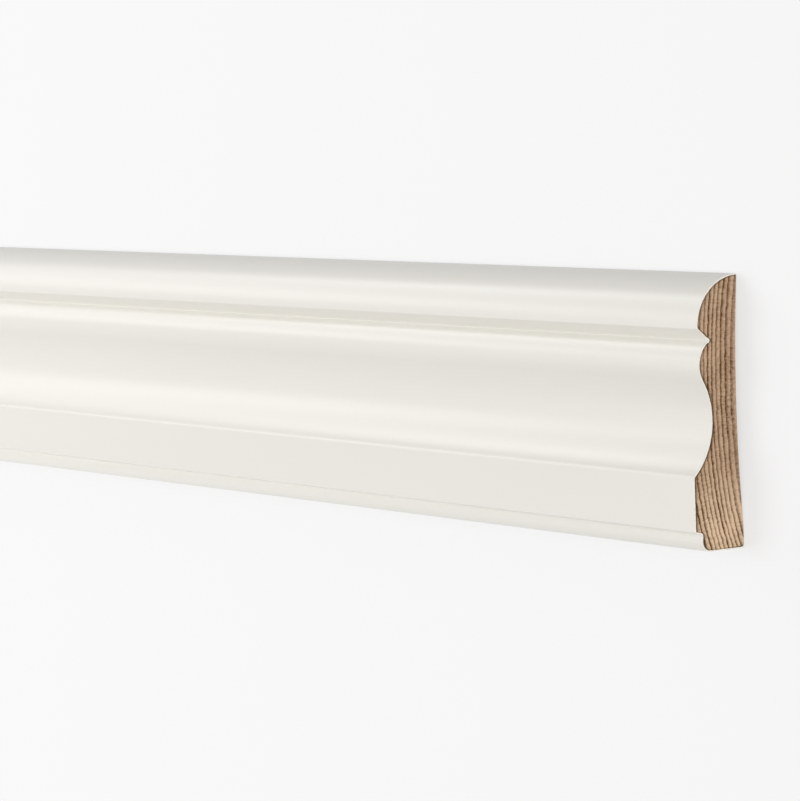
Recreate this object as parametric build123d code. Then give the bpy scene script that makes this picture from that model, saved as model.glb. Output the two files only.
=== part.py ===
from build123d import *
import math
import os

# Painted pine architrave, one length of stock planed from a single board.
# X runs along the length, Y across the width towards the ovolo edge, Z out of the wall.
# The back plane is Z = 0 and the origin is the middle of the back. Millimetres and degrees.

# The board it is planed from
length = 2200.0
width = 95.0
thickness = 21.0

# Ovolo, a quarter round that starts at the back corner of its edge
ovolo_radius = 17.75
ovolo_flat = 0.4  # level strip between the ovolo's crown and the quirk

# Quirk, the V groove between the ovolo and the bead
quirk_height = 13.0  # floor of the groove above the back
quirk_slope = 49.0  # fall of its straight flank below the level

# Bead and cove, two tangent arcs that make the ogee
bead_radius = 10.8
bead_height = 17.4  # crown of the bead above the back
cove_radius = 26.45
cove_height = 12.5  # lowest line of the cove above the back

# Step and nosing along the outer edge
nosing_width = 6.1
nosing_radius = 3.4
step_height = 2.9
step_slope = 18.0  # lean of the step's face from square

# Hollow back, planed as one shallow arc between two lands that touch the wall
hollow_depth = 1.5
ovolo_land = 2.0
outer_land = 9.0

# Arrises eased before painting
eased_arris = 0.4
outer_back_easing = 1.0

# Outline, measured from the ovolo edge and up from the back plane
crown_arris = (ovolo_radius + ovolo_flat, ovolo_radius)
quirk_fall = ovolo_radius - quirk_height
quirk_floor = (crown_arris[0] + quirk_fall / math.tan(math.radians(quirk_slope)), quirk_height)

bead_centre_height = bead_height - bead_radius
bead_run = math.sqrt(bead_radius**2 - (quirk_height - bead_centre_height) ** 2)
bead_centre = (quirk_floor[0] + bead_run, bead_centre_height)
bead_crown = (bead_centre[0], bead_height)

# The cove touches the bead where the line between their centres crosses both.
cove_centre_height = cove_height + cove_radius
centre_gap = bead_radius + cove_radius
centre_rise = cove_centre_height - bead_centre_height
cove_centre = (bead_centre[0] + math.sqrt(centre_gap**2 - centre_rise**2), cove_centre_height)
bead_share = bead_radius / centre_gap
ogee_turn = (
    bead_centre[0] + bead_share * (cove_centre[0] - bead_centre[0]),
    bead_centre[1] + bead_share * centre_rise,
)
cove_floor = (cove_centre[0], cove_height)
cove_run = math.sqrt(cove_radius**2 - (cove_centre_height - thickness) ** 2)
band_arris = (cove_centre[0] + cove_run, thickness)

nosing_height = thickness - step_height
step_foot = (width - nosing_width, nosing_height)
step_arris = (step_foot[0] - step_height * math.tan(math.radians(step_slope)), thickness)
nosing_corner = (width, nosing_height)

ovolo_back = (0, 0)
outer_back = (width, 0)
hollow_start = (width - outer_land, 0)
hollow_end = (ovolo_land, 0)
hollow_crown = ((hollow_start[0] + hollow_end[0]) / 2, hollow_depth)

# The section stands on the near cut end, with its first axis running down the width.
cut_end = Plane(
    origin=(length / 2, width / 2, 0),
    x_dir=(0, -1, 0),
    z_dir=(-1, 0, 0),
)


def corner(sketch, point):
    """The sketch's vertex at a point of the outline."""
    return sketch.vertices().sort_by_distance(point)[0]


with BuildPart() as architrave:
    with BuildSketch(cut_end) as section:
        with BuildLine():
            CenterArc((ovolo_radius, 0), ovolo_radius, 180, -90)
            Line((ovolo_radius, ovolo_radius), crown_arris)
            Line(crown_arris, quirk_floor)
            ThreePointArc(quirk_floor, bead_crown, ogee_turn)
            ThreePointArc(ogee_turn, cove_floor, band_arris)
            Polyline(band_arris, step_arris, step_foot, nosing_corner, outer_back, hollow_start)
            ThreePointArc(hollow_start, hollow_crown, hollow_end)
            Line(hollow_end, ovolo_back)
        make_face()
        fillet(corner(section, nosing_corner), nosing_radius)
        fillet(corner(section, outer_back), outer_back_easing)
        for arris in (ovolo_back, crown_arris, band_arris, step_arris):
            fillet(corner(section, arris), eased_arris)
    extrude(amount=length)

architrave.part.label = "architrave"

os.makedirs("parts", exist_ok=True)
export_step(architrave.part, "parts/architrave.step")
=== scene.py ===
# %% [markdown]
# # A painted pine architrave
# An architrave is the strip of moulding that covers the gap between a door lining and the wall. This one is
# planed from a single pine board, painted on its face and edges, and sawn off square, so the bare end shows
# the year rings. The script opens the measured part first, because everything after it has to fit that.

# %% Open the measured part
import math

import bmesh
import bpy
import numpy as np
from mathutils import Matrix, Vector


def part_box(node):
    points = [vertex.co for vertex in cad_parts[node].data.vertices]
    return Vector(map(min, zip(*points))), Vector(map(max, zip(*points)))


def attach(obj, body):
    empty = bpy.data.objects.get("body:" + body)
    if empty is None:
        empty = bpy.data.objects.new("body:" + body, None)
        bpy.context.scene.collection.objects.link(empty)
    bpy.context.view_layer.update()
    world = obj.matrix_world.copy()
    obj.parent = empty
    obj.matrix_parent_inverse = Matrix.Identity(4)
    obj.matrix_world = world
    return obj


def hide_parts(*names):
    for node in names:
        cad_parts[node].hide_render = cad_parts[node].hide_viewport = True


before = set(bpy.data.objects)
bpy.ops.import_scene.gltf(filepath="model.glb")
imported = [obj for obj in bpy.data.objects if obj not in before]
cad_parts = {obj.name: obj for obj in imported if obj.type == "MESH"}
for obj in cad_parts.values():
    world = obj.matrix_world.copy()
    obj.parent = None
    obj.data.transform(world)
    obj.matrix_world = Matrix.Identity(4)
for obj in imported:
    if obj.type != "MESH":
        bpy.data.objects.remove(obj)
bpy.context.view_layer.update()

low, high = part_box("architrave")
length = high.x - low.x
width = high.y - low.y
thickness = high.z - low.z
mm = 0.001
print("board", round(length / mm), "x", round(width / mm), "x", round(thickness / mm), "mm")

# %% [markdown]
# ## The section
# A moulding is the same all along its length, so its whole shape is one drawing: the section that the
# planer's knives leave. It could be drawn by eye with a Bezier curve, but real knives are ground to circles
# and straight lines. Every point below therefore comes from an arc or a line, and light runs over the
# finished face as smoothly as over the real one. The section is measured from the ovolo edge across the
# face, and up from the back.

# %% Sizes that the knives leave
ovolo_radius = 17.75 * mm
ovolo_flat = 0.4 * mm  # level strip between the ovolo's crown and the quirk
quirk_height = 13.0 * mm  # floor of the quirk above the back
quirk_slope = math.radians(49)
bead_radius = 10.8 * mm
bead_height = 17.4 * mm  # crown of the bead above the back
cove_radius = 26.45 * mm
cove_height = 12.5 * mm  # lowest line of the cove above the back
nosing_width = 6.1 * mm
nosing_radius = 3.4 * mm
step_height = 2.9 * mm
step_slope = math.radians(18)  # lean of the step's face from square
hollow_depth = 1.5 * mm
ovolo_land = 2.0 * mm
outer_land = 9.0 * mm
print("bead and cove radius", round(bead_radius / mm, 2), "and", round(cove_radius / mm, 2), "mm")

# %% [markdown]
# No corner of a painted moulding is sharp. Sanding takes a little off every arris, and the same strokes leave
# a far bigger round on the blunt one where the cove meets the band. It shows as a thin pale line along the
# whole band. In the two inner corners paint gathers instead, and fills them with a small curve.

# %% Sizes that sanding and paint leave
eased_arris = 0.4 * mm
outer_back_easing = 1.0 * mm
band_easing = 1.6 * mm
quirk_fill = 0.4 * mm
step_fill = 1.1 * mm
spacing = 0.45 * mm  # between the points of a curve, fine enough for a highlight to show no corners
print("a point every", round(spacing / mm, 2), "mm")

# %% Arcs, lines and eased corners
def arc(centre, start, end):
    """Points on a circle from one point to another, the short way round."""
    from_angle = math.atan2(start.y - centre.y, start.x - centre.x)
    turn = math.atan2(end.y - centre.y, end.x - centre.x) - from_angle
    turn = (turn + math.pi) % math.tau - math.pi
    radius = (start - centre).length
    steps = max(2, round(abs(turn) * radius / spacing))
    angles = [from_angle + turn * i / steps for i in range(steps + 1)]
    return [centre + Vector((math.cos(a), math.sin(a))) * radius for a in angles]


def line(start, end):
    """Points on a straight line, both ends included."""
    steps = max(1, round((end - start).length / spacing))
    return [start.lerp(end, i / steps) for i in range(steps + 1)]


def chain(*stretches):
    """Joins stretches that each start where the last one ended."""
    points = list(stretches[0])
    for stretch in stretches[1:]:
        points += stretch[1:]
    return points


def ease(points, corner, radius, steps=5):
    """Rounds a sharp corner as sanding does: the points near it give way to a small curve."""
    at = min(range(len(points)), key=lambda i: (points[i] - corner).length)
    before = (points[at] - points[at - 1]).normalized()
    after = (points[at + 1] - points[at]).normalized()
    setback = radius * math.tan(before.angle(after) / 2)
    start = corner - before * setback
    end = corner + after * setback
    curve = [
        start * (1 - t) ** 2 + corner * (2 * t * (1 - t)) + end * t**2
        for t in (i / steps for i in range(steps + 1))
    ]
    clear = setback * 1.3  # a point nearer than this would crowd the curve's ends
    kept_before = [p for p in points[:at] if (p - corner).length > clear]
    kept_after = [p for p in points[at + 1:] if (p - corner).length > clear]
    return kept_before + curve + kept_after


# %% [markdown]
# The bead and the cove meet without a corner because the line between their centres passes through the point
# where they touch. That is the old trick for drawing an ogee, and it gives the cove's centre here.

# %% Find the centres and corners
ovolo_back = Vector((0, 0))
ovolo_centre = Vector((ovolo_radius, 0))
ovolo_crown = Vector((ovolo_radius, ovolo_radius))
crown_arris = ovolo_crown + Vector((ovolo_flat, 0))
quirk_run = (ovolo_radius - quirk_height) / math.tan(quirk_slope)
quirk_floor = Vector((crown_arris.x + quirk_run, quirk_height))

bead_centre_height = bead_height - bead_radius
bead_run = math.sqrt(bead_radius**2 - (quirk_height - bead_centre_height) ** 2)
bead_centre = Vector((quirk_floor.x + bead_run, bead_centre_height))
centre_gap = bead_radius + cove_radius
centre_rise = cove_height + cove_radius - bead_centre_height
cove_centre = bead_centre + Vector((math.sqrt(centre_gap**2 - centre_rise**2), centre_rise))
ogee_turn = bead_centre.lerp(cove_centre, bead_radius / centre_gap)
cove_run = math.sqrt(cove_radius**2 - (cove_centre.y - thickness) ** 2)
band_arris = Vector((cove_centre.x + cove_run, thickness))

step_foot = Vector((width - nosing_width, thickness - step_height))
step_arris = Vector((step_foot.x - step_height * math.tan(step_slope), thickness))
nosing_centre = Vector((width - nosing_radius, step_foot.y - nosing_radius))
nosing_top = nosing_centre + Vector((0, nosing_radius))
nosing_side = nosing_centre + Vector((nosing_radius, 0))
outer_back = Vector((width, 0))
print("band", round((step_arris.x - band_arris.x) / mm, 1), "mm wide")

# %% Draw the moulded face
# The paint wraps a little way round both back corners, and the face is drawn as far as the paint goes.
paint_start = Vector((2 * eased_arris, 0))
paint_end = Vector((width - 1.5 * outer_back_easing, 0))
face = chain(
    line(paint_start, ovolo_back),
    arc(ovolo_centre, ovolo_back, ovolo_crown),
    line(ovolo_crown, crown_arris),
    line(crown_arris, quirk_floor),
    arc(bead_centre, quirk_floor, ogee_turn),
    arc(cove_centre, ogee_turn, band_arris),
    line(band_arris, step_arris),
    line(step_arris, step_foot),
    line(step_foot, nosing_top),
    arc(nosing_centre, nosing_top, nosing_side),
    line(nosing_side, outer_back),
    line(outer_back, paint_end),
)
corners = (
    (ovolo_back, eased_arris), (crown_arris, eased_arris), (step_arris, eased_arris),
    (band_arris, band_easing), (outer_back, outer_back_easing),
    (quirk_floor, quirk_fill), (step_foot, step_fill),
)
for corner, radius in corners:
    face = ease(face, corner, radius)
print("moulded face:", len(face), "points")

# %% [markdown]
# ## The hollow back
# The back is hollowed a little, so that the moulding touches the wall only along two lands and never rocks on
# a bump in the plaster. Each point of the face gets a partner on the back, which later lets the cut end be
# laid out in tidy columns between the two. A partner lies mostly straight below its point. Where the face
# stands upright that would put many partners in one place, so a small part of the way goes by girth, the
# distance along the painted face.

# %% Draw the hollow back
hollow_start = ovolo_land
hollow_end = width - outer_land
hollow_middle = (hollow_start + hollow_end) / 2
hollow_half = (hollow_end - hollow_start) / 2
hollow_radius = (hollow_half**2 + hollow_depth**2) / (2 * hollow_depth)
straight_below = 0.85


def back_height(across):
    """Height of the back above the wall's plane: nothing on the lands, a shallow arc between them."""
    off = across - hollow_middle
    if abs(off) >= hollow_half:
        return 0.0
    return math.sqrt(hollow_radius**2 - off**2) - (hollow_radius - hollow_depth)


steps_along = [0.0] + [(b - a).length for a, b in zip(face, face[1:])]
along = np.cumsum(steps_along)
girth = along / along[-1]
reached = np.maximum.accumulate([p.x for p in face])
share_across = (reached - reached[0]) / (reached[-1] - reached[0])
partner_share = straight_below * share_across + (1 - straight_below) * girth
partners = paint_start.x + (paint_end.x - paint_start.x) * partner_share
back = [Vector((across, back_height(across))) for across in partners]
print("painted girth", round(along[-1] / mm), "mm")

# %% [markdown]
# ## Wires
# Shaders and Geometry Nodes are both written as sums here. The plain way, one call for each new node and one
# for each link, would run to hundreds of lines that hide the idea. A Wire holds one output of a node, and
# adding or multiplying wires adds the Math nodes for it, so a formula reads as a formula. Every other node
# comes from the one method called node, which sets its settings before it fills its sockets.

# %% A socket that can be used in sums
class Wire:
    """One output of a node in a tree, usable like a number."""

    def __init__(self, tree, socket=None):
        self.tree, self.socket = tree, socket

    def node(self, kind, settings=None, inputs=None, out=0):
        """Adds a node and returns a wire from one of its outputs."""
        made = self.tree.nodes.new(kind)
        for name, value in (settings or {}).items():
            setattr(made, name, value)
        for name, value in (inputs or {}).items():
            if isinstance(value, Wire):
                self.tree.links.new(value.socket, made.inputs[name])
            else:
                made.inputs[name].default_value = value
        return Wire(self.tree, made.outputs[out] if made.outputs else None)

    def other(self, out):
        """A wire from another output of the same node."""
        return Wire(self.tree, self.socket.node.outputs[out])

    def math(self, operation, *values):
        """A Math node of any kind, fed with wires or numbers."""
        return self.node("ShaderNodeMath", {"operation": operation}, dict(enumerate(values)))

    def __add__(self, value):
        return self.math("ADD", self, value)

    __radd__ = __add__

    def __sub__(self, value):
        return self.math("SUBTRACT", self, value)

    def __rsub__(self, value):
        return self.math("SUBTRACT", value, self)

    def __mul__(self, value):
        return self.math("MULTIPLY", self, value)

    __rmul__ = __mul__

    def __truediv__(self, value):
        return self.math("DIVIDE", self, value)

    def __gt__(self, value):
        return self.math("GREATER_THAN", self, value)

    def fade(self, start, end):
        """0 up to start, 1 from end on, and a smooth rise between them."""
        values = {"Value": self, "From Min": start, "From Max": end}
        return self.node("ShaderNodeMapRange", {"interpolation_type": "SMOOTHSTEP"}, values)

    def axes(self, place):
        """The X, Y and Z of a place, as three wires."""
        x = self.node("ShaderNodeSeparateXYZ", None, {0: place})
        return x, x.other("Y"), x.other("Z")

    def noise(self, place, stretch, detail=2.0, roughness=0.5):
        """Smooth noise between 0 and 1 at a place, with so many waves a metre along X, Y and Z."""
        scaled = self.node("ShaderNodeVectorMath", {"operation": "MULTIPLY"}, {0: place, 1: stretch})
        values = {"Vector": scaled, "Scale": 1.0, "Detail": detail, "Roughness": roughness}
        return self.node("ShaderNodeTexNoise", None, values)

    def mix(self, amount, first, second):
        """A colour between two others."""
        return self.node("ShaderNodeMix", {"data_type": "RGBA"}, {0: amount, 6: first, 7: second}, out=2)

    def bump(self, height, size, strength=1.0):
        """A surface that looks raised by a height, where a height of 1 stands for the size."""
        values = {"Height": height, "Distance": size, "Strength": strength}
        return self.node("ShaderNodeBump", None, values, out="Normal")


# %% [markdown]
# ## The wood
# Pine grows a pale band every spring and a dark one every summer, in rings round the pith. The board was cut
# with its pith behind the back, so the rings arch towards the face. They could be painted on as a picture.
# One rule that gives the ring at any place in the board is better: the cut ends, the bare back and the faint
# ridges under the paint all follow it, as they do in a real board, where they are one and the same grain.

# %% Where the pith lies, and how the tree grew
ring_width = 2.21 * mm
pith_behind = 290 * mm
pith_aside = 7.5 * mm
pith_lean = (0.004, 0.0055)  # metres that it strays aside and backwards in each metre of the board
out_of_round = 250.0  # how much faster than a circle the rings fall away to both sides
wander = 0.9 * mm  # how far a ring strays from its curve in long bends, and again in short trembles
year_at_back = 19.68  # where the count stands at the back, which places the rings
lean_years = 0.64  # years by which the count drifts, as some rings grow narrower and others wider
lean_years_depth = 16 * mm
lean_years_start = 0.2
summer_full = 0.87  # when in the year the wood is darkest
winter = 0.92  # when growth stops, and the next pale band begins sharply
print("rings", round(ring_width / mm, 2), "mm apart")

# %% One rule for the year rings
def from_pith(bench, place):
    """How far a place in the board lies to the side of the pith, and how far in front of it."""
    x, y, z = bench.axes(place)
    from_end = length / 2 - x
    across = y - from_end * pith_lean[0] - pith_aside
    out = z + from_end * pith_lean[1] + pith_behind
    return across, out


def distance(bench, first, second):
    """The length of the slanted side over two square ones."""
    return bench.math("SQRT", first * first + second * second)


def year_rings(bench, place):
    """How much of summer's dark wood is at a place, from 0 to 1."""
    across, out = from_pith(bench, place)
    shoulder = bench.math("POWER", bench.math("ABSOLUTE", across), 4.0) * out_of_round
    bend = (bench.noise(place, (3.0, 40.0, 40.0), detail=1.0) - 0.5) * wander
    tremble = (bench.noise(place, (9.0, 330.0, 330.0)) - 0.5) * wander
    depth = distance(bench, across, out) + shoulder + bend + tremble - pith_behind
    slow = bench.math("SINE", depth * (math.pi / lean_years_depth) + lean_years_start) * -lean_years
    age = depth / ring_width + slow + year_at_back
    season = bench.math("FRACT", age)
    year = bench.math("FLOOR", age)
    start = bench.node("ShaderNodeTexWhiteNoise", {"noise_dimensions": "1D"}, {"W": year + 0.5})
    strength = bench.node("ShaderNodeTexWhiteNoise", {"noise_dimensions": "1D"}, {"W": year})
    summer = season.fade(start * 0.35 + 0.1, summer_full) * (1 - season.fade(winter, 1.0))
    return summer * (strength * 0.45 + 0.55)


# %% [markdown]
# ## Finishes
# Each finish is one Principled shader. What is the same all over a surface is set on the shader's own socket,
# and what changes over it is fed by nodes that read the place in the board, so it stays where it is when the
# piece is seen from another side or exported.

# %% Start a finish
def finish_named(name, **constants):
    """A new material with one Principled shader, and a wire to build its pattern with."""
    material = bpy.data.materials.new(name)
    material.use_nodes = True
    tree = material.node_tree
    shader = tree.nodes["Principled BSDF"]
    for socket, value in constants.items():
        shader.inputs[socket.replace("_", " ")].default_value = value
    bench = Wire(tree)
    place = bench.node("ShaderNodeTexCoord", None, None, out="Object")
    return material, bench, place, shader


def feed(bench, shader, **wires):
    """Links wires to the shader's sockets."""
    for socket, wire in wires.items():
        bench.tree.links.new(wire.socket, shader.inputs[socket.replace("_", " ")])


def colour(red, green, blue):
    """A colour as a colour picker shows it, turned into the amounts of light that a shader wants."""
    def light(value):
        value /= 255
        return value / 12.92 if value <= 0.04045 else ((value + 0.055) / 1.055) ** 2.4
    return (light(red), light(green), light(blue), 1.0)


# %% [markdown]
# ## Satin paint
# The paint is a warm white satin, sprayed on in a factory over a primer. It has no brush marks, only a fine
# skin like an orange's, drawn out a little along the board, and hard summer wood shows through as ridges.
# All of that is a few thousandths of a millimetre high, too little to change any outline, so a bump does it.
# The gleam matters more: a roughness near 0.3 gives broad soft bands of light with an edge that can be seen.

# %% Satin paint
paint, bench, place, shader = finish_named("satin_paint", IOR=1.5)
cloud = bench.noise(place, (5.0, 22.0, 22.0))
base = bench.mix(cloud, colour(240, 237, 229), colour(243, 241, 234))
sprayed = bench.noise(place, (500.0, 700.0, 700.0), detail=1.0)
drawn_out = bench.noise(place, (8.0, 400.0, 400.0))
relief = sprayed * 0.4 + drawn_out * 0.4 + year_rings(bench, place) * 0.3
raised = bench.bump(relief, 0.002 * mm)
feed(bench, shader, Base_Color=base, Roughness=0.27 + cloud * 0.06, Normal=raised)
print("paint:", len(bench.tree.nodes), "nodes")

# %% [markdown]
# ## Sawn edge of the paint
# Where the saw went through, the film of primer and paint shows as a thin line round the bare wood. It looks
# whiter than the face and has no gleam, because the saw leaves it rough, and small chips vary its tone. It
# is a finish of its own, on a row of faces of its own, and not a line drawn on the wood.

# %% Sawn edge of the paint
film_edge, bench, place, shader = finish_named("sawn_paint_edge", Roughness=0.55)
chips = bench.noise(place, (600.0, 1300.0, 1300.0))
chipped = bench.mix(chips.fade(0.35, 0.7), colour(243, 235, 220), colour(255, 250, 241))
feed(bench, shader, Base_Color=chipped)
print("sawn paint:", len(bench.tree.nodes), "nodes")

# %% [markdown]
# ## Bare end grain
# End grain is dull and brown, because the open ends of its fibres swallow light. Beside the rings it has fine
# rays that run out from the pith, blotches where the saw scorched or tore it, and pores as small as dust.
# Each of these is a noise stretched its own way, and together they decide how dark the wood is at a place.
# A low IOR keeps the sawn surface from shining.

# %% Grain of the cut end
end_wood, bench, place, shader = finish_named("bare_end_grain", IOR=1.2)
x, side, height = bench.axes(place)
summer = year_rings(bench, place)
across, out = from_pith(bench, place)
angle = bench.math("ARCTAN2", across, out)
round_pith = bench.node("ShaderNodeCombineXYZ", None, {0: angle, 1: distance(bench, across, out)})
rays = bench.noise(round_pith, (520.0, 420.0, 1.0), detail=3.0, roughness=0.6)
blotches = bench.noise(place, (40.0, 110.0, 110.0))
mottles = bench.noise(place, (100.0, 850.0, 850.0), detail=3.0, roughness=0.6)
pores = bench.noise(place, (200.0, 2600.0, 2600.0))
print("grain:", len(bench.tree.nodes), "nodes")

# %% [markdown]
# A board's end is seldom one even brown. This one is paler towards the outer edge, has a belt along its
# middle that goes from darker to paler, and a small patch of resin on the near end that makes it mottled.

# %% Paler and darker parts of the cut end
pale_from, pale_to = -16 * mm, -40 * mm
belt_height = 5.8 * mm
resin_place = (1.5 * mm, 4.5 * mm)
resin_size = (12.0 * mm, 4.5 * mm)

pale_side = side.fade(pale_from, pale_to)
pale_top = pale_side * height.fade(12 * mm, 19 * mm)
belt = 1 - bench.math("ABSOLUTE", height - belt_height).fade(0.5 * mm, 4.0 * mm)
belt_tone = side.fade(-32 * mm, -2 * mm) * 0.26 - 0.13
resin_across = (side - resin_place[0]) / resin_size[0]
resin_up = (height - resin_place[1]) / resin_size[1]
resin_edge = distance(bench, resin_across, resin_up) + mottles - 0.5
resin = (1 - resin_edge.fade(0.4, 1.2)) * (x > 0.0)
print("with its parts:", len(bench.tree.nodes), "nodes")

# %% [markdown]
# The wood is coloured darker in a thin band beside the film, most strongly right next to it. The cut end's
# mesh carries how close each point is to the film, under the name under_paint, and an Attribute node reads
# it.

# %% Bare end grain
spring_tone = bench.mix(pale_side, colour(205, 174, 144), colour(233, 202, 169))
summer_tone = colour(90, 54, 20)
# a dark brown for the thin band that is coloured darker beside the film
dark_band_tone = colour(66, 52, 38)
darkness = summer * (pale_side * 0.08 + 0.96) + 0.11
darkness += (rays - 0.5) * 0.85
darkness += (blotches - 0.5) * 0.6
darkness += (mottles - 0.5) * (resin * 0.8 + 0.9)
darkness += (pores - 0.5) * 0.4
darkness += resin * 0.08
darkness += belt * belt_tone
darkness += pale_top * 0.12
wood = bench.mix(darkness, spring_tone, summer_tone)
under_paint = bench.node("ShaderNodeAttribute", {"attribute_name": "under_paint"}, None, out="Fac")
# how strongly the band beside the film is coloured darker, a little uneven with the blotches
dark_band = under_paint * (blotches.fade(0.3, 0.6) * 0.5 + 0.45)
wood = bench.mix(dark_band, wood, dark_band_tone)
raised = bench.bump(summer * 0.6 + pores * 0.5 + rays * 0.3, 0.08 * mm, strength=0.6)
feed(bench, shader, Base_Color=wood, Roughness=0.86 - summer * 0.16, Normal=raised)
print("end grain:", len(bench.tree.nodes), "nodes")

# %% [markdown]
# ## Bare planed back
# The back goes against the wall, so nobody paints it. Planed along its fibres, the same pine is much paler
# than at its sawn end. The knives leave low waves across it at an even pitch, and a mist of paint strays a
# few millimetres round the edges.

# %% Bare planed back
back_wood, bench, place, shader = finish_named("bare_planed_back")
knife_pitch = 1.6 * mm
mist_width = 3.2 * mm

x, side, height = bench.axes(place)
summer = year_rings(bench, place)
fibres = bench.noise(place, (14.0, 1500.0, 1500.0), detail=3.0)
stain = bench.noise(place, (1.3, 24.0, 24.0))
spring_tone = bench.mix(stain, colour(226, 199, 155), colour(233, 210, 170))
darkness = summer * 0.75 + (fibres - 0.5) * 0.35
wood = bench.mix(darkness.fade(0.0, 1.0), spring_tone, colour(188, 137, 84))

from_edge = width / 2 - bench.math("ABSOLUTE", side)
mist = bench.noise(place, (160.0, 700.0, 700.0), detail=3.0) * mist_width
overspray = 1 - (from_edge - mist).fade(-0.4 * mm, 0.5 * mm)
misted = bench.mix(overspray, wood, colour(240, 237, 229))
dullness = 0.62 - summer * 0.12 - overspray * 0.2

knife_marks = bench.math("SINE", x * (math.tau / knife_pitch))
raised = bench.bump(summer * 0.5 + fibres * 0.6 + knife_marks * 0.25, 0.04 * mm, strength=0.4)
feed(bench, shader, Base_Color=misted, Roughness=dullness, Normal=raised)
print("back:", len(bench.tree.nodes), "nodes")

# %% [markdown]
# ## The cut end
# The cut end is where the section shows. A single face with many corners would fill it, but then nothing on
# it could be raised or coloured point by point, so it is laid out as a grid of columns from the face to the
# back. The outer row is the sawn edge of the paint film. The film is 0.42 mm thick, and up to twice that in
# the quirk and at the step's foot, where wet paint ran together. It thins to nothing where the paint stops
# on the back, and it tore a little under the saw, so its inner edge isn't quite even.

# %% Thickness of the paint film round the section
film_thickness = 0.42 * mm
film_tear = 0.05 * mm
film_thins_over = 1.2 * mm
pools = ((quirk_floor, 0.45 * mm, 0.7 * mm), (step_foot, 0.25 * mm, 0.8 * mm))  # place, depth, width

film = film_thickness * np.clip(np.minimum(along, along[-1] - along) / film_thins_over, 0, 1)
uneven = np.random.default_rng(11).uniform(-1, 1, len(face) + 2)
tears = np.convolve(uneven, (0.3, 0.4, 0.3), "valid")
film *= 1 + tears * film_tear / film_thickness
for corner, pool_depth, pool_width in pools:
    away = np.array([(p - corner).length for p in face])
    film += pool_depth * np.exp(-((away / pool_width) ** 2))
print("film up to", round(film.max() / mm, 2), "mm thick")

# %% Lay out the grid
wood_rows = 58

under_film = []
for i, point in enumerate(face):
    before = face[max(i - 1, 0)]
    after = face[min(i + 1, len(face) - 1)]
    run = (after - before).normalized()
    under_film.append(point + Vector((run.y, -run.x)) * film[i])

rows = [face, under_film]
for step in range(1, wood_rows + 1):
    rows.append([a.lerp(b, step / wood_rows) for a, b in zip(under_film, back)])
grid_points = [(0.0, width / 2 - p.x, p.y) for row in rows for p in row]
columns = len(face)
grid_faces = [
    (r * columns + c, r * columns + c + 1, (r + 1) * columns + c + 1, (r + 1) * columns + c)
    for r in range(len(rows) - 1)
    for c in range(columns - 1)
]
cut_end = bpy.data.meshes.new("cut_end")
cut_end.from_pydata(grid_points, [], grid_faces)
print("cut end:", len(grid_faces), "faces")

# %% [markdown]
# The nodes that follow need to know some things about the grid: how far round the section a point is, which
# points lie on the back, which lie in bare wood, how close they are to the film, and which faces are film.
# Named attributes on the mesh carry these numbers to Geometry Nodes and to the shader alike.

# %% Mark what lies where on the grid
# how far the darker band beside the film reaches into the wood
dark_band_depth = 0.95 * mm


def mark(name, domain, values):
    """Stores one number at each point or face of the cut end, for the nodes to read."""
    layer = cut_end.attributes.new(name, "FLOAT", domain)
    layer.data.foreach_set("value", np.asarray(values, np.float32).ravel())


row_number, column_number = np.indices((len(rows), columns))
last_row = len(rows) - 1
middle_column = (column_number > 0) & (column_number < columns - 1)
mark("girth", "POINT", np.tile(girth, len(rows)))
mark("on_back", "POINT", (row_number == last_row) & middle_column)
mark("in_wood", "POINT", (row_number > 1) & (row_number < last_row) & middle_column)
below_film = np.array([[(a - b).length for a, b in zip(row, under_film)] for row in rows[1:]])
under_paint = np.exp(-((below_film / dark_band_depth) ** 2)) * (film > 0.5 * film_thickness)
mark("under_paint", "POINT", np.vstack([np.zeros(columns), under_paint]))
mark("film", "FACE", np.repeat(np.arange(last_row) == 0, columns - 1))
print("marked", len(rows), "rows of", columns, "points")

# %% [markdown]
# ## Running the moulding
# A spindle moulder runs the section along the board, and so does this tree of Geometry Nodes. It stands the
# grid at both ends, turns its rim into a loop, runs the loop along a rail and welds the three together into
# one closed skin. A plain extrusion would close it too, but with side faces two metres long and half a
# millimetre wide, and the rail cuts those into slices. The tree's inputs leave length and finishes open.

# %% Name the tree's inputs
tree = bpy.data.node_groups.new("run_the_moulding", "GeometryNodeTree")
tree.is_modifier = True
sockets = {
    "Cut End": "NodeSocketGeometry", "Length": "NodeSocketFloat", "Slices": "NodeSocketInt",
    "Saw Relief": "NodeSocketFloat", "Paint": "NodeSocketMaterial", "Film Edge": "NodeSocketMaterial",
    "End Wood": "NodeSocketMaterial", "Back Wood": "NodeSocketMaterial",
}
for name, kind in sockets.items():
    tree.interface.new_socket(name=name, in_out="INPUT", socket_type=kind)
tree.interface.new_socket(name="Moulding", in_out="OUTPUT", socket_type="NodeSocketGeometry")
bench = Wire(tree)
given = bench.node("NodeGroupInput")
half = given.other("Length") * 0.5
weld = 0.001 * mm
print("inputs:", ", ".join(sockets))

# %% Short names for the steps of the tree
def vector(x=0.0, y=0.0, z=0.0):
    """A vector from three wires or numbers."""
    return bench.node("ShaderNodeCombineXYZ", None, {0: x, 1: y, 2: z})


def stored(name):
    """A number stored on the mesh under a name."""
    return bench.node("GeometryNodeInputNamedAttribute", {"data_type": "FLOAT"}, {"Name": name})


def moved(shape, offset):
    """A shape with each of its points moved by an offset."""
    return bench.node("GeometryNodeSetPosition", None, {"Geometry": shape, "Offset": offset})


def store(shape, name, value, domain, kind="FLOAT"):
    """A shape that carries one more number or map under a name."""
    settings = {"data_type": kind, "domain": domain}
    values = {"Geometry": shape, "Name": name, "Value": value}
    return bench.node("GeometryNodeStoreNamedAttribute", settings, values)


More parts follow.
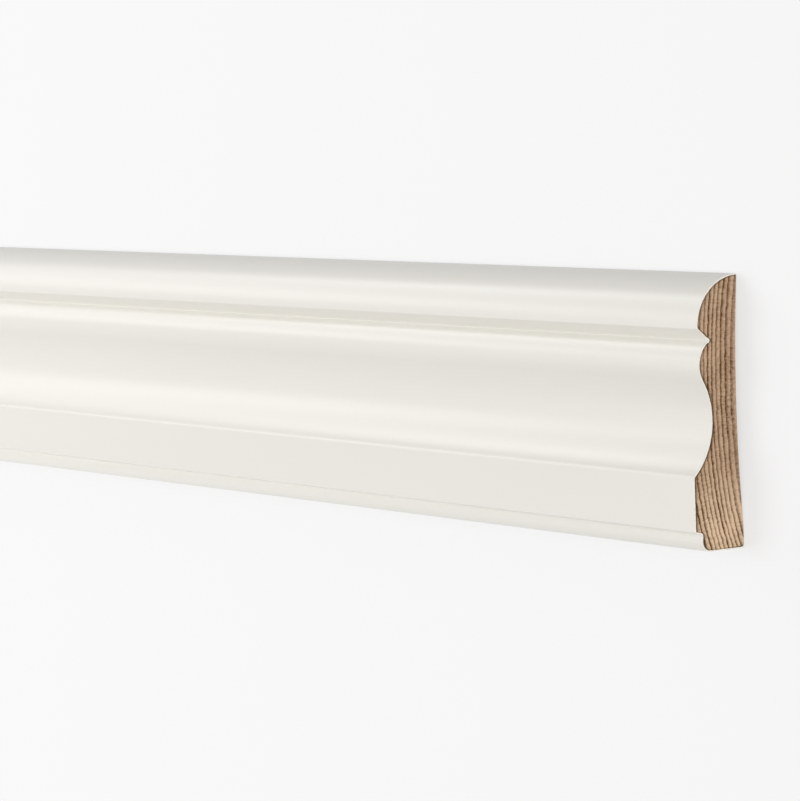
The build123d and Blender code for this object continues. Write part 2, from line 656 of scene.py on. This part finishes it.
def coat(shape, finish, chosen=True):
    """Gives a shape, or the chosen faces of it, one of the tree's finishes."""
    values = {"Geometry": shape, "Selection": chosen, "Material": given.other(finish)}
    return bench.node("GeometryNodeSetMaterial", None, values)


# %% [markdown]
# On a sawn end the hard summer wood stands proud of the softer spring wood. The same rule that colours the
# rings sinks the spring wood here, by the saw relief, so the ends have real ridges and not only drawn ones.
# The rim and the film stay flat, because the sides are welded to them. Each face also gets a number for its
# region: 0 on the painted sides, 1 on the back, and 2 and 3 on the two ends.

# %% Stand the cut end at both ends
near_end = 2.0
far_end = 3.0

flat = bench.node("GeometryNodeMergeByDistance", None, {"Geometry": given.other("Cut End"), "Distance": weld})
position = bench.node("GeometryNodeInputPosition")
sink = (1 - year_rings(bench, position)) * stored("in_wood") * given.other("Saw Relief")
near = store(moved(moved(flat, vector(half)), vector(sink * -1)), "region", near_end, "FACE")
far = store(moved(moved(flat, vector(half * -1)), vector(sink)), "region", far_end, "FACE")
far = bench.node("GeometryNodeFlipFaces", None, {0: far})
print("both ends:", len(tree.nodes), "nodes")

# %% [markdown]
# The sides are the rim of the grid, run along a straight rail. On a rail along X, Curve to Mesh turns a loop
# so that its first axis lies along -Y and its second along -Z, so the rim is laid down that way first. An
# edge on the rim has one face beside it and an inner one has two, which is how the rim is picked.

# %% Run the rim along the length
beside = bench.node("GeometryNodeInputMeshEdgeNeighbors")
rim = bench.node("GeometryNodeMeshToCurve", None, {"Mesh": flat, "Selection": 1.5 - beside})
x, y, z = bench.axes(position)
laid = vector(y * -1, z * -1)
loop = bench.node("GeometryNodeSetPosition", None, {"Geometry": rim, "Position": laid})
rail = bench.node("GeometryNodeCurvePrimitiveLine", None, {"Start": vector(half * -1), "End": vector(half)})
rail = bench.node("GeometryNodeResampleCurve", None, {"Curve": rail, "Count": given.other("Slices") + 1})
sides = bench.node("GeometryNodeCurveToMesh", None, {"Curve": rail, "Profile Curve": loop})
sides = store(sides, "region", stored("on_back") > 0.01, "FACE")

joined = bench.node("GeometryNodeJoinGeometry", None, {0: near})
join_socket = joined.socket.node.inputs[0]
for part in (far, sides):
    tree.links.new(part.socket, join_socket)
whole = bench.node("GeometryNodeMergeByDistance", None, {"Geometry": joined, "Distance": weld})
print("welded skin:", len(tree.nodes), "nodes")

# %% [markdown]
# A UV map says where each corner lies on a flat picture, which an exported model needs to carry its colours.
# This one has four strips: the painted face, the bare back and the two ends. The ends get far more room than
# their size asks for, because the eye goes there first.

# %% Lay the skin out flat
face_strip, back_strip = 0.005, 0.315  # where each strip starts, up the picture
near_strip, far_strip = 0.63, 0.815
side_strip_height = 0.3
end_strip_height = 0.17

region = stored("region")
is_end = region > 1.5
is_back = (region > 0.5) - is_end
across_map = is_end * (0.5 - y / width) + (1 - is_end) * (x / given.other("Length") + 0.5)
side_row = face_strip + is_back * (back_strip - face_strip) + stored("girth") * side_strip_height
end_row = near_strip + (region > 2.5) * (far_strip - near_strip) + z / thickness * end_strip_height
up_map = is_end * end_row + (1 - is_end) * side_row
whole = store(whole, "OFBake", vector(across_map, up_map), "CORNER", "FLOAT2")
print("mapped skin:", len(tree.nodes), "nodes")

# %% [markdown]
# Smooth shading suits the rolling face, and would smear the arrises of the cut ends, so edges that turn by
# more than 32 degrees are kept sharp. The finishes come last, each on its own part of the skin.

# %% Keep the arrises sharp and give the finishes
sharp_turn = math.radians(32)

turn = bench.node("GeometryNodeInputMeshEdgeAngle")
sharp = {"Geometry": whole, "Selection": turn > sharp_turn, "Shade Smooth": False}
whole = bench.node("GeometryNodeSetShadeSmooth", {"domain": "EDGE"}, sharp)
whole = bench.node("GeometryNodeRealizeInstances", None, {0: whole})
whole = coat(whole, "Paint")
whole = coat(whole, "Back Wood", is_back)
whole = coat(whole, "End Wood", is_end)
whole = coat(whole, "Film Edge", is_end * stored("film") > 0.5)
bench.node("NodeGroupOutput", None, {0: whole})
print("whole tree:", len(tree.nodes), "nodes")

# %% [markdown]
# ## Making the moulding
# A modifier runs the tree on the grid. Its result is taken off as a plain mesh, because only that can be
# handed on, and the modifier goes. The grid never had a finish of its own, which leaves one empty slot in
# front of the four finishes, and that slot goes too. A closed skin has exactly two faces at every edge, so
# the loose ones are counted, and a volume above zero says that the faces point outwards.

# %% Make the moulding
def set_input(modifier, name, value):
    """Sets a modifier's input by its socket's identifier."""
    items = modifier.node_group.interface.items_tree
    inputs = [item for item in items if item.item_type == "SOCKET" and item.in_out == "INPUT"]
    socket = next(item for item in inputs if item.name == name)
    modifier[socket.identifier] = value


moulding = bpy.data.objects.new("moulded_board", cut_end)
bpy.context.collection.objects.link(moulding)
run = moulding.modifiers.new("run the moulding", "NODES")
run.node_group = tree
settings = {
    "Length": length, "Slices": 44, "Saw Relief": 0.06 * mm,
    "Paint": paint, "Film Edge": film_edge, "End Wood": end_wood, "Back Wood": back_wood,
}
for name, value in settings.items():
    set_input(run, name, value)
graph = bpy.context.evaluated_depsgraph_get()
evaluated = moulding.evaluated_get(graph)
skin = bpy.data.meshes.new_from_object(evaluated, preserve_all_data_layers=True, depsgraph=graph)
moulding.modifiers.remove(run)
skin.materials.pop(index=0)
skin.name = "moulded_board"
moulding.data = skin
print("finishes:", ", ".join(finish.name for finish in skin.materials))

# %% Count loose edges and hand the moulding over
counted = bmesh.new()
counted.from_mesh(skin)
loose = sum(1 for edge in counted.edges if len(edge.link_faces) != 2)
millilitres = round(counted.calc_volume() * 1e6)
counted.free()
print("moulding:", len(skin.polygons), "faces,", loose, "loose edges,", millilitres, "ml")

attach(moulding, "root")
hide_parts("architrave")

# %% [markdown]
# ## What looks white and what lights the piece
# In a studio the floor and the room behind are lit to look white, and that light is kept off the piece. Light
# Path tells the two apart: a ray that comes from the camera, a gloss or a glass is looking, and any other ray
# carries light. The floor and the room add their whiteness for the looking rays alone.

# %% Tell looking rays from lighting rays
def seen_directly(bench):
    """1 where the camera, a gloss or a glass looks, and 0 for the light that falls on things."""
    ray = bench.node("ShaderNodeLightPath", None, None, out="Is Camera Ray")
    gloss_or_glass = bench.math("MAXIMUM", ray.other("Is Glossy Ray"), ray.other("Is Transmission Ray"))
    return bench.math("MAXIMUM", ray, gloss_or_glass)


# %% [markdown]
# ## Floor
# The moulding lies on a wide pale floor. A white one would throw so much light back that the side faces lost
# their modelling, so the floor is a mid grey that catches the soft shadow, with a glow on top that only the
# looking rays get. It lies a fraction of a millimetre low, so that it doesn't cut into the lands of the back.

# %% Floor
floor_half = 12.0
floor_drop = 0.2 * mm
floor_grey = 0.30
floor_glow = 0.67

floor_mesh = bpy.data.meshes.new("floor")
floor_corners = [(a * floor_half, b * floor_half, 0) for a, b in ((-1, -1), (1, -1), (1, 1), (-1, 1))]
floor_mesh.from_pydata(floor_corners, [], [(0, 1, 2, 3)])
floor = bpy.data.objects.new("floor", floor_mesh)
bpy.context.collection.objects.link(floor)
floor.location.z = -floor_drop

pale = bpy.data.materials.new("pale_floor")
pale.use_nodes = True
nodes = pale.node_tree.nodes
nodes.remove(nodes["Principled BSDF"])
bench = Wire(pale.node_tree)
shade = bench.node("ShaderNodeBsdfDiffuse", None, {"Color": (floor_grey, floor_grey, floor_grey, 1)})
strength = seen_directly(bench) * floor_glow
glow = bench.node("ShaderNodeEmission", None, {"Color": (1, 1, 1, 1), "Strength": strength})
both = bench.node("ShaderNodeAddShader", None, {0: shade, 1: glow})
bench.tree.links.new(both.socket, nodes["Material Output"].inputs["Surface"])
floor_mesh.materials.append(pale)
print("floor", 2 * floor_half, "m wide")

# %% [markdown]
# ## Camera
# The camera stands where the photograph was taken: beyond the cut end and well above it, looking back along
# the piece through a long lens, which keeps the far part from shrinking much. It is turned so that the length
# runs across the picture with the ovolo edge up. Blender's own tracking would keep Z up in the picture, so
# the camera's three axes are worked out here instead.

# %% Camera
camera_place = Vector((2.19525, 0.1224, 0.8652))
aim = Vector((0.88803, -0.00672, 0.0))
roll = math.radians(-2.08)
sensor_width = 36
longer_side = 801  # of the picture, in pixels, which the sensor's width is fitted to
lens_in_pixels = 4050  # the lens's focal length, counted in those pixels

camera_data = bpy.data.cameras.new("camera")
camera_data.sensor_width = sensor_width
camera_data.lens = sensor_width * lens_in_pixels / longer_side
camera_data.clip_start = 0.05
camera_data.clip_end = 60
camera = bpy.data.objects.new("camera", camera_data)
bpy.context.collection.objects.link(camera)

back_axis = (camera_place - aim).normalized()
up_axis = (Vector((0, 1, 0)) - back_axis * back_axis.y).normalized()
up_axis = Matrix.Rotation(roll, 3, back_axis) @ up_axis
right_axis = up_axis.cross(back_axis)
turned = Matrix((right_axis, up_axis, back_axis)).transposed().to_4x4()
camera.matrix_world = Matrix.Translation(camera_place) @ turned
bpy.context.scene.camera = camera
print("camera", round((camera_place - aim).length, 2), "m away, lens", round(camera_data.lens), "mm")

# %% [markdown]
# ## Light
# Satin paint shows its shape by what it mirrors. The long bright bands on the ovolo, the bead and the cove
# are soft boxes that stand beyond the far end, seen in the paint at a low angle. A sun would draw thin hard
# lines instead, and a bright room would wash them out, so the room is kept low and six boxes do the rest.
# Their light is given as the brightness of their front, and a Blender lamp wants the power that this takes.

# %% Soft boxes
def soft_box(name, place, target, size, light, spread=180):
    """A rectangular lamp that looks from a place to a target, with a front so bright and a beam so wide."""
    lamp = bpy.data.lights.new(name, "AREA")
    lamp.shape = "RECTANGLE"
    lamp.size, lamp.size_y = size
    lamp.spread = math.radians(spread)
    lamp.energy = light * math.pi * size[0] * size[1]
    box = bpy.data.objects.new(name, lamp)
    bpy.context.collection.objects.link(box)
    box.location = place
    box.rotation_mode = "QUATERNION"
    box.rotation_quaternion = (Vector(target) - Vector(place)).to_track_quat("-Z", "Y")
    box.visible_camera = False


# The box overhead lights the whole face. The far one adds to it from beyond the far end, on the ovolo's side.
soft_box("overhead_box", (-0.3, 0, 2.2), (0.7, 0, 0), (1.5, 1.5), 3.45)
soft_box("far_box", (-4.0, 2.0, 2.0), (0.7, 0, 0), (2.0, 2.0), 1.3)
# Slopes that face the ovolo's side mirror these two: gentle ones the first, and steeper ones the second.
soft_box("gleam_box", (-1.6, 0.6, 1.55), (0.8, 0.18, 0), (0.6, 0.6), 2.3)
soft_box("edge_box", (-1.6, 1.8, 0.95), (0.8, 0.54, 0), (0.6, 0.6), 3.4)
# Two low cards with narrow beams light the cut end, and the nosing's side with the step's face.
soft_box("end_card", (6.0, 0, 0.14), (1.1, 0, 0.02), (2.0, 0.24), 9.4, spread=60)
soft_box("skirt_card", (-0.9, -3.2, 0.13), (-0.3, 0, 0.01), (2.4, 0.22), 2.5, spread=60)
print("soft boxes:", ", ".join(lamp.name for lamp in bpy.data.lights))

# %% [markdown]
# The room fills in from all sides with an even light, a touch warm, so that no hollow goes black. Looked at
# directly it is nearly white, like the floor. The view transform is Standard, so colours render as written.

# %% Room
room_tint = (1.0, 0.995, 0.985, 1.0)
room_light = 0.51
room_whiteness = 0.43

world = bpy.data.worlds.new("room")
bpy.context.scene.world = world
world.use_nodes = True
background = world.node_tree.nodes["Background"]
background.inputs["Color"].default_value = room_tint
shown = seen_directly(Wire(world.node_tree)) * room_whiteness + room_light
world.node_tree.links.new(shown.socket, background.inputs["Strength"])
bpy.context.scene.view_settings.view_transform = "Standard"
print("room seen at", round(room_light + room_whiteness, 2), "and lighting at", room_light)
